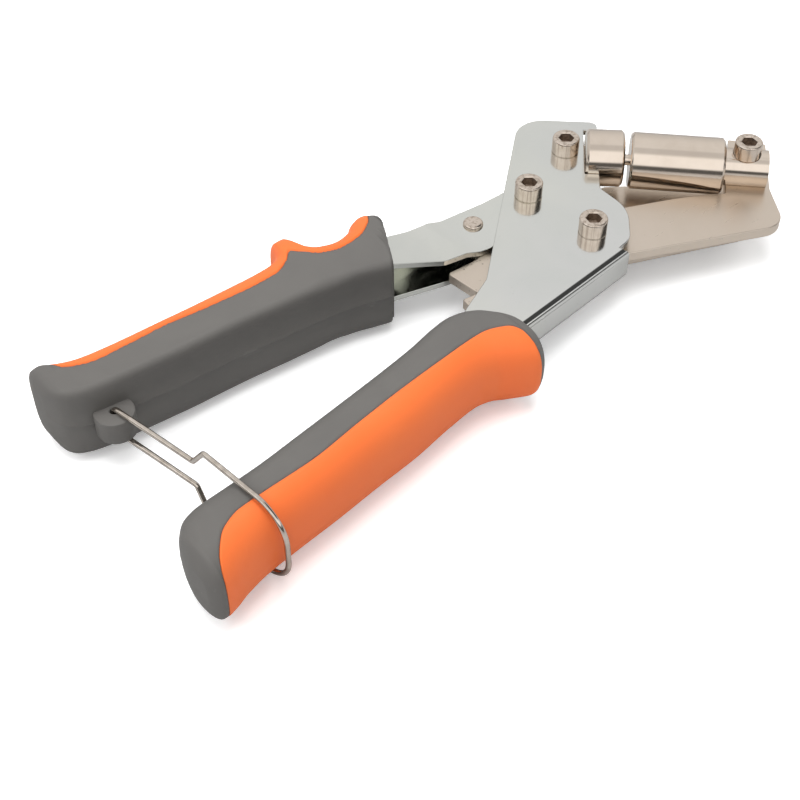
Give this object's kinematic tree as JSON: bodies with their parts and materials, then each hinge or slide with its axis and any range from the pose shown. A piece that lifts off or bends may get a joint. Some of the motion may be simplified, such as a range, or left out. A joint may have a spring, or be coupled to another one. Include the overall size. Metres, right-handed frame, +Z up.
{
  "type": "eyelet pliers",
  "caption": "Hand eyelet pliers with folded steel frame, sprung lever, nickel jaw with coaxial dies, two-colour grips and a wire locking bail",
  "frame": {"origin": "centre of the bounding box on the table, with the pliers lying flat", "axes": "+X along the tool towards the dies, +Y towards the moving handle, +Z up along the pivot screws"},
  "size_m": [0.2706, 0.1082, 0.0356],
  "materials": {
    "zinc_sheet": "satin",
    "nickel_plate": "satin",
    "polished_nickel": "polished",
    "screw_steel": "polished",
    "spring_wire": "satin",
    "bail_wire": "polished",
    "grey_plastic": "matt",
    "orange_rubber": "matt"
  },
  "bodies": {
    "frame_body": {"frame_channel": "zinc_sheet", "frame_grip_core": "grey_plastic", "frame_grip_cover": "orange_rubber", "anvil_die": "polished_nickel", "anvil_screw": "screw_steel", "anvil_lock_washer": "screw_steel", "anvil_nut": "screw_steel", "lever_screw": "screw_steel", "lever_lock_washer": "screw_steel", "lever_nut": "screw_steel", "lever_sleeve": "screw_steel", "jaw_screw": "screw_steel", "jaw_nut": "screw_steel", "jaw_sleeve": "screw_steel", "jaw_washer_upper": "screw_steel", "jaw_washer_lower": "screw_steel", "return_spring": "spring_wire"},
    "lever_body": {"lever_channel": "zinc_sheet", "lever_grip_core": "grey_plastic", "lever_grip_cover": "orange_rubber", "drive_pin": "screw_steel", "drive_roller": "screw_steel"},
    "jaw_body": {"jaw_plate": "nickel_plate", "jaw_cheek": "nickel_plate", "jaw_spacer": "screw_steel", "moving_die": "polished_nickel", "die_pilot": "polished_nickel", "die_holder": "polished_nickel", "clamp_screw": "screw_steel", "clamp_nut": "screw_steel"},
    "bail_body": {"locking_bail": "bail_wire"}
  },
  "joints": [
    {"name": "handle_squeeze", "type": "hinge", "parent": "frame_body", "child": "lever_body", "pos_m": [0.05191, 0.01823, 0.0175], "axis": [0, 0, 1], "range_deg": [0, 3.6], "stiffness_Nm_per_rad": 2, "springref_deg": -20.05},
    {"name": "jaw_close", "type": "hinge", "parent": "frame_body", "child": "jaw_body", "pos_m": [0.05521, -0.01077, 0.0175], "axis": [0, 0, 1], "range_deg": [0, 2.95]},
    {"name": "bail_swing", "type": "hinge", "parent": "lever_body", "child": "bail_body", "pos_m": [-0.11819, 0.02542, 0.0175], "axis": [0, 0, 1], "range_deg": [-6, 6]}
  ],
  "couplings": [
    {"joint": "jaw_close", "follows": "handle_squeeze", "ratio": 0.82}
  ]
}
